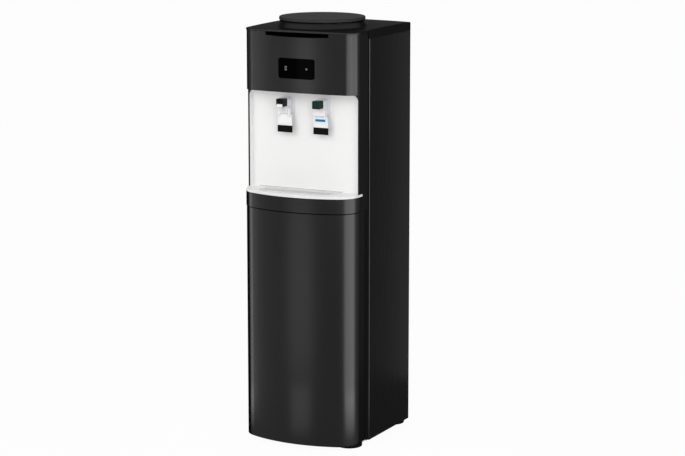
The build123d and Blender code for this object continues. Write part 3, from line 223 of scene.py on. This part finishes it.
def upward_part(tree, vector):
    """The Z part of a vector."""
    split = tree.nodes.new("ShaderNodeSeparateXYZ")
    tree.links.new(vector, split.inputs["Vector"])
    return split.outputs["Z"]


def remap(tree, value, old_low, old_high, new_low, new_high, blend="LINEAR"):
    """A value moved from one range to another."""
    node = tree.nodes.new("ShaderNodeMapRange")
    node.interpolation_type = blend
    node.inputs["From Min"].default_value = old_low
    node.inputs["From Max"].default_value = old_high
    node.inputs["To Min"].default_value = new_low
    node.inputs["To Max"].default_value = new_high
    tree.links.new(value, node.inputs["Value"])
    return node.outputs["Result"]


def colour_ramp(tree, value, stops):
    """A colour that follows a value through stops, each with its place and its colour."""
    node = tree.nodes.new("ShaderNodeValToRGB")
    elements = node.color_ramp.elements
    for number, (position, colour) in enumerate(stops):
        if number < len(elements):
            element = elements[number]
            element.position = position
        else:
            element = elements.new(position)
        element.color = (*colour, 1)
    tree.links.new(value, node.inputs["Fac"])
    return node.outputs["Color"]


def shades(tree, value, dark, light):
    """Two shades of a colour over the middle of a value's range."""
    return colour_ramp(tree, value, ((spread_low, dark), (spread_high, light)))


def relief(tree, shader, value, height):
    """Fine relief from a noise, in metres."""
    node = tree.nodes.new("ShaderNodeBump")
    node.inputs["Strength"].default_value = relief_strength
    node.inputs["Distance"].default_value = height
    tree.links.new(value, node.inputs["Height"])
    tree.links.new(node.outputs["Normal"], shader.inputs["Normal"])


def looked_at(tree):
    """One where a thing is seen straight, in a gloss or through another, and zero where it only lights."""
    path = tree.nodes.new("ShaderNodeLightPath")
    seen = path.outputs["Is Camera Ray"]
    for kind in ("Is Glossy Ray", "Is Transmission Ray"):
        either = tree.nodes.new("ShaderNodeMath")
        either.operation = "MAXIMUM"
        tree.links.new(seen, either.inputs[0])
        tree.links.new(path.outputs[kind], either.inputs[1])
        seen = either.outputs["Value"]
    return seen


# Finishes
def scaled(colour, factor):
    """A colour made lighter or darker."""
    return tuple(min(1.0, part * factor) for part in colour)


def dress(tree, shader, tone, fine, colour, change, rough, spread, height):
    """One noise for the colour, and one for the roughness and the relief."""
    paint = shades(tree, tone, scaled(colour, 1 - change), scaled(colour, 1 + change))
    dull = remap(tree, fine, spread_low, spread_high, rough * (1 - spread), rough * (1 + spread))
    tree.links.new(paint, shader.inputs["Base Color"])
    tree.links.new(dull, shader.inputs["Roughness"])
    relief(tree, shader, fine, height)


def surface(name, colour, rough, change, grain, stretch=even, height=plain_relief, metal=0.0, ior=plain_ior):
    """A finish with broad changes in its colour and a grain in its gloss and its relief."""
    material, tree, shader = new_material(name)
    shader.inputs["Metallic"].default_value = metal
    shader.inputs["IOR"].default_value = ior
    fine = noise(tree, grain, stretch)
    broad = noise(tree, broad_grain)
    dress(tree, shader, broad, fine, colour, change, rough, plain_spread, height)
    return material


def soft_gloss(tree, shader, gloss, edge_gloss, fade_end):
    """Gloss that fades to its least where the face turns away from the eye."""
    turn = tree.nodes.new("ShaderNodeLayerWeight")
    turn.inputs["Blend"].default_value = turn_blend
    level = remap(tree, turn.outputs["Facing"], fade_start, fade_end, gloss, edge_gloss, "SMOOTHSTEP")
    tree.links.new(level, shader.inputs["Specular IOR Level"])
    # A plain middle value, for where the link is dropped
    shader.inputs["Specular IOR Level"].default_value = gloss / 2


def black_finish(name, colour, rough, stretch=even, gloss=0.5, edge_gloss=0.0, fade_end=0.6, change=0.15):
    """A black finish with a fine grain, streaked where the grain is stretched."""
    material, tree, shader = new_material(name)
    shader.inputs["IOR"].default_value = black_ior
    fine = noise(tree, black_grain, stretch, black_detail)
    dress(tree, shader, fine, fine, colour, change, rough, black_spread, black_relief)
    soft_gloss(tree, shader, gloss, edge_gloss, fade_end)
    return material


def ledge_painted_light_finish(name, colour):
    """A moulding with painted light: darker on its upright sides and lighter where it looks up, as light from
    above falls.
    """
    material, tree, shader = new_material(name)
    shader.inputs["Roughness"].default_value = moulding_rough
    shader.inputs["IOR"].default_value = moulding_ior
    shape = tree.nodes.new("ShaderNodeNewGeometry")
    up = upward_part(tree, shape.outputs["Normal"])
    paint = shades(tree, up, scaled(colour, ledge_side_shade), scaled(colour, ledge_top_light))
    tree.links.new(paint, shader.inputs["Base Color"])
    return material


def band_finish(name, low, high, bands):
    """Level bands of colour between two heights, each with its place as a share."""
    material, tree, shader = new_material(name)
    shader.inputs["Roughness"].default_value = label_rough
    shader.inputs["IOR"].default_value = moulding_ior
    place = tree.nodes.new("ShaderNodeTexCoord")
    share = remap(tree, upward_part(tree, place.outputs["Object"]), low, high, 0, 1)
    tree.links.new(colour_ramp(tree, share, bands), shader.inputs["Base Color"])
    return material


black_looks = {
    "black_gloss": dict(colour=front_black, rough=0.29, stretch=upright, fade_end=0.607),
    "black_cover": dict(colour=cover_black, rough=0.4, edge_gloss=0.0019, fade_end=0.57),
    "black_steel": dict(colour=panel_black, rough=0.27, stretch=upright, edge_gloss=0.014, fade_end=0.57,
                        change=0.03),
    "black_lid": dict(colour=lid_black, rough=0.38, gloss=0.1, edge_gloss=0.0020),
}
plain_looks = {
    "grey_steel": dict(colour=sheet_grey, rough=0.42, change=0.08, grain=60.0, metal=0.6),
    "white_plastic": dict(colour=moulding_white, rough=moulding_rough, change=0.015, grain=500.0,
                          height=moulding_relief, ior=moulding_ior),
    "tap_plastic": dict(colour=tap_grey, rough=moulding_rough, change=0.03, grain=500.0,
                        height=moulding_relief, ior=moulding_ior),
    "black_cap": dict(colour=front_black, rough=0.25, change=0.1, grain=500.0, height=black_relief, ior=1.14),
    "green_cap": dict(colour=cap_green, rough=0.25, change=0.1, grain=500.0, height=black_relief, ior=1.12),
    "black_pad": dict(colour=pad_black, rough=0.55, change=0.1, grain=600.0, ior=1.08),
    "tray_grey": dict(colour=tray_grey, rough=0.5, change=0.05, grain=500.0),
    "dark_window": dict(colour=window_black, rough=0.12, change=0.1, grain=300.0, height=0.000002, ior=1.04),
    "window_marks": dict(colour=mark_grey, rough=0.5, change=0.1, grain=300.0,
                         height=moulding_relief, ior=1.1),
    "stripe_blue": dict(colour=stripe_blue, rough=label_rough, change=0.05, grain=400.0,
                        height=moulding_relief, ior=1.2),
    # Finish of the painted shade in gaps, seams and the finger slot
    "black_void": dict(colour=shade_black, rough=0.9, change=0.1, grain=400.0, ior=1.01),
    "board": dict(colour=board_green, rough=0.4, change=0.2, grain=300.0),
    "liner": dict(colour=liner_white, rough=0.5, change=0.04, grain=400.0),
    "hinge_steel": dict(colour=steel_tone, rough=0.35, change=0.08, grain=300.0, metal=1.0),
    "stainless": dict(colour=steel_tone, rough=0.3, change=0.06, grain=300.0, stretch=drawn, metal=1.0),
    "copper": dict(colour=copper_tone, rough=0.35, change=0.12, grain=160.0, metal=1.0),
    "condenser_black": dict(colour=coil_black, rough=0.4, change=0.15, grain=200.0),
    "foam": dict(colour=foam_cream, rough=0.9, change=0.08, grain=350.0, height=0.0003),
    "heater": dict(colour=steel_tone, rough=0.45, change=0.1, grain=200.0, metal=1.0),
    "tubing": dict(colour=tube_milk, rough=0.35, change=0.05, grain=200.0),
    "black_rubber": dict(colour=pad_black, rough=0.7, change=0.15, grain=400.0, ior=1.05),
    "black_fitting": dict(colour=fitting_black, rough=0.5, change=0.1, grain=400.0),
    "red_rocker": dict(colour=rocker_red, rough=0.25, change=0.05, grain=400.0, height=moulding_relief),
    "green_rocker": dict(colour=rocker_green, rough=0.25, change=0.05, grain=400.0, height=moulding_relief),
}
finishes = {name: black_finish(name, **look) for name, look in black_looks.items()}
finishes.update({name: surface(name, **look) for name, look in plain_looks.items()})

# Three nodes with a finish other than their slot's
own_finishes = {
    # The tray ledge's finish paints light: lighter on top, darker on its upright sides
    "tray_ledge": ledge_painted_light_finish("white_ledge_painted_light", moulding_white),
    "dust_lid": finishes["black_lid"],
    "cold_tap_cap": finishes["green_cap"],
}
for row in frame["record"]["subparts"]:
    mesh = nodes[row["node"]].data
    mesh.materials.clear()
    mesh.materials.append(own_finishes.get(row["node"], finishes[row["material_slot"]]))
    mesh.shade_smooth()
    mesh.set_sharp_from_angle(angle=math.radians(crease_angle))


# Shapes of the added pieces
def mesh_object(name, shape, material):
    """An object made from a mesh shape, in one material."""
    mesh = bpy.data.meshes.new(name)
    shape.to_mesh(mesh)
    shape.free()
    mesh.materials.append(material)
    made = bpy.data.objects.new(name, mesh)
    scene.collection.objects.link(made)
    return made


def new_piece(name, shape, material, body):
    """A mesh piece that rides on a body."""
    piece = mesh_object(name, shape, material)
    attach(piece, body)


def plate(x0, x1, y0, y1, z0, z1, corner, steps=5):
    """A thin upright plate with rounded corners, its face towards -Y."""
    shape = bmesh.new()
    middle_x, middle_z = (x0 + x1) / 2, (z0 + z1) / 2
    half_x, half_z = (x1 - x0) / 2 - corner, (z1 - z0) / 2 - corner
    outline = []
    for quarter, (side_x, side_z) in enumerate(((1, 1), (-1, 1), (-1, -1), (1, -1))):
        for step in range(steps + 1):
            angle = math.radians(90 * (quarter + step / steps))
            outline.append((middle_x + side_x * half_x + corner * math.cos(angle),
                            middle_z + side_z * half_z + corner * math.sin(angle)))
    front = shape.faces.new([shape.verts.new((x, y0, z)) for x, z in outline])
    raised = bmesh.ops.extrude_face_region(shape, geom=[front])
    moved = [item for item in raised["geom"] if isinstance(item, bmesh.types.BMVert)]
    bmesh.ops.translate(shape, vec=(0, y1 - y0, 0), verts=moved)
    bmesh.ops.recalc_face_normals(shape, faces=shape.faces)
    return shape


def bowed_line(half, apex, bow, corner, outset, steps=14):
    """Points of a bowed front with rounded corners, set out from it, from the left side to the right."""
    bow_y = apex + bow
    bow, corner = bow + outset, corner + outset
    corner_x = half + outset - corner
    corner_y = bow_y - math.sqrt((bow - corner) ** 2 - corner_x ** 2)
    meet = math.atan2(corner_x, bow_y - corner_y)
    points = []
    for step in range(steps + 1):
        turn = -math.pi / 2 + (math.pi / 2 - meet) * step / steps
        points.append((-corner_x + corner * math.sin(turn), corner_y - corner * math.cos(turn)))
    for step in range(1, 2 * steps):
        turn = meet * (step / steps - 1)
        points.append((bow * math.sin(turn), bow_y - bow * math.cos(turn)))
    for x, y in reversed(points[:steps + 1]):
        points.append((-x, y))
    return points


def circle(centre_y, radius, steps=120):
    """Points round an upright axis."""
    turns = [2 * math.pi * step / steps for step in range(steps)]
    return [(radius * math.cos(turn), centre_y + radius * math.sin(turn)) for turn in turns]


def strip(points, inner_points, z0, z1, closed=False):
    """A thin upright strip between an outer and an inner line."""
    shape = bmesh.new()
    rings = []
    for outer, inner in zip(points, inner_points):
        rings.append([shape.verts.new((*outer, z0)), shape.verts.new((*outer, z1)),
                      shape.verts.new((*inner, z1)), shape.verts.new((*inner, z0))])
    count = len(rings)
    for number in range(count if closed else count - 1):
        here, after = rings[number], rings[(number + 1) % count]
        for side in range(4):
            other = (side + 1) % 4
            shape.faces.new((here[side], here[other], after[other], after[side]))
    if not closed:
        shape.faces.new(rings[0])
        shape.faces.new(reversed(rings[-1]))
    bmesh.ops.recalc_face_normals(shape, faces=shape.faces)
    return shape


# Added pieces
def tap_labels():
    """Plain colour bands on the cold tap's lever, a stripe over them, and bands on the body above."""
    lever_low, lever_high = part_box("cold_lever")
    pad_low, pad_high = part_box("cold_pad")
    body_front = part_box("cold_tap_body")[0].y
    cap_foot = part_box("cold_tap_cap")[0].z
    plate_front = pad_low.y + pad_proud
    plate_top = cap_foot - plate_drop
    label_front = plate_front - label_film
    z0 = pad_high.z + label_foot_gap
    z1 = plate_top - label_top_gap
    stripe_z = z0 + stripe_rise
    new_piece("cold_lever_label",
              plate(lever_low.x + label_side_gap, lever_high.x - label_side_gap, label_front, plate_front,
                    z0, z1, label_corner),
              band_finish("lever_bands", z0, z1, lever_bands), "cold_lever_body")
    new_piece("cold_lever_stripe",
              plate(lever_low.x + stripe_left_gap, lever_high.x - stripe_right_gap,
                    label_front - label_film, label_front,
                    stripe_z - stripe_half, stripe_z + stripe_half, stripe_corner),
              finishes["stripe_blue"], "cold_lever_body")
    new_piece("cold_tap_label",
              plate(lever_low.x + tap_label_side_gap, lever_high.x - tap_label_side_gap,
                    body_front - label_film, body_front,
                    plate_top + tap_label_end_gap, cap_foot - tap_label_end_gap, tap_label_corner),
              band_finish("tap_bands", plate_top, cap_foot, tap_bands), "cabinet")


def slot_shade_sheets():
    """Painted shade: dark sheets on the back and floor of the finger slot, where shade falls."""
    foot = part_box("top_cover")[0].z + slot_rise
    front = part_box("upper_front_panel")[0].y
    back = front + slot_depth
    new_piece("slot_back_shade",
              plate(-slot_half, slot_half, back, back + slot_film, foot, foot + slot_height, slot_corner),
              finishes["black_void"], "cabinet")
    new_piece("slot_floor_shade",
              plate(-slot_half, slot_half, front + slot_lip, back, foot, foot + slot_film, thin_corner),
              finishes["black_void"], "cabinet")


def door_seam_shade():
    """Painted shade: a dark line along the door's top edge, where shade falls in the seam."""
    low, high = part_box("door_shell")
    outer = bowed_line(high.x, low.y, door_bow, door_corner, door_line_proud)
    inner = bowed_line(high.x, low.y, door_bow, door_corner, -door_line_film)
    new_piece("door_seam_shade", strip(outer, inner, high.z - door_line_drop, high.z + door_line_rise),
              finishes["black_void"], "door")


def lid_gap_shade():
    """Painted shade: a dark line round the lid, under its edge, where shade falls in the gap."""
    low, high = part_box("dust_lid")
    centre_y = (low.y + high.y) / 2
    top = high.z - lid_line_drop
    outer = circle(centre_y, lid_line_radius)
    inner = circle(centre_y, lid_line_inner)
    new_piece("lid_gap_shade", strip(outer, inner, top - lid_line_height, top, closed=True),
              finishes["black_void"], "lid")


def alcove_seam_shade():
    """Painted shade: a dark line where the alcove's back meets the ledge, where shade falls."""
    wall_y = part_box("alcove_panel")[1].y - alcove_wall
    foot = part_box("tray_ledge")[1].z
    new_piece("alcove_seam_shade",
              plate(alcove_line_left, alcove_line_right, wall_y - alcove_line_film, wall_y,
                    foot, foot + alcove_line_height, thin_corner),
              finishes["black_void"], "cabinet")


def window_marks():
    """Plain marks on the bowed face of the indicator window."""
    low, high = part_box("indicator_window")
    for name, x, rise, half_x, half_z in marks:
        face_y = low.y + x * x / (2 * window_bow)
        z = (low.z + high.z) / 2 + rise
        new_piece(name,
                  plate(x - half_x, x + half_x, face_y - mark_proud, face_y + mark_depth,
                        z - half_z, z + half_z, mark_corner),
                  finishes["window_marks"], "cabinet")


tap_labels()
slot_shade_sheets()
door_seam_shade()
lid_gap_shade()
alcove_seam_shade()
window_marks()


# Floor, light and camera
def floor_finish():
    """Plain white where the floor is looked at, with a little of its shading kept."""
    material, tree, shader = new_material("floor")
    shader.inputs["Base Color"].default_value = (*floor_white, 1)
    shader.inputs["Roughness"].default_value = floor_rough
    glow = tree.nodes.new("ShaderNodeEmission")
    glow.inputs["Color"].default_value = (1, 1, 1, 1)
    glow.inputs["Strength"].default_value = 1.0
    mix = tree.nodes.new("ShaderNodeMixShader")
    tree.links.new(remap(tree, looked_at(tree), 0, 1, 0, backdrop_share), mix.inputs["Fac"])
    tree.links.new(shader.outputs["BSDF"], mix.inputs[1])
    tree.links.new(glow.outputs["Emission"], mix.inputs[2])
    tree.links.new(mix.outputs["Shader"], tree.nodes["Material Output"].inputs["Surface"])
    return material


def lay_floor():
    """A wide level floor."""
    shape = bmesh.new()
    bmesh.ops.create_grid(shape, x_segments=2, y_segments=2, size=floor_half)
    floor = mesh_object("floor", shape, floor_finish())


def white_sky():
    """A white sky, brighter where it is looked at than where it lights."""
    world = bpy.data.worlds.new("studio")
    scene.world = world
    world.use_nodes = True
    tree = world.node_tree
    sky = tree.nodes["Background"]
    sky.inputs["Color"].default_value = (1, 1, 1, 1)
    tree.links.new(remap(tree, looked_at(tree), 0, 1, sky_light, sky_look), sky.inputs["Strength"])


def softbox(name, place, target, width, height, power, only_gloss=False):
    """A soft area lamp aimed at a point, or one that shows only as a sheen."""
    data = bpy.data.lights.new(name, "AREA")
    data.shape = "RECTANGLE"
    data.size = width
    data.size_y = height
    data.energy = power
    lamp = bpy.data.objects.new(name, data)
    scene.collection.objects.link(lamp)
    lamp.location = place
    lamp.rotation_euler = (Vector(target) - Vector(place)).to_track_quat("-Z", "Y").to_euler()
    lamp.visible_camera = False
    lamp.visible_diffuse = not only_gloss


def aim_camera():
    """The camera of the main picture."""
    data = bpy.data.cameras.new("camera")
    data.lens = camera_lens
    data.sensor_width = camera_sensor
    data.clip_end = camera_reach
    camera = bpy.data.objects.new("camera", data)
    scene.collection.objects.link(camera)
    camera.location = camera_place
    camera.rotation_euler = (math.radians(90 + camera_tilt), 0, math.radians(camera_turn))
    scene.camera = camera


lay_floor()
white_sky()
for lamp_row in room_lamps:
    softbox(*lamp_row)
for lamp_row in gloss_lamps:
    softbox(*lamp_row, only_gloss=True)
aim_camera()
scene.view_settings.view_transform = "Standard"
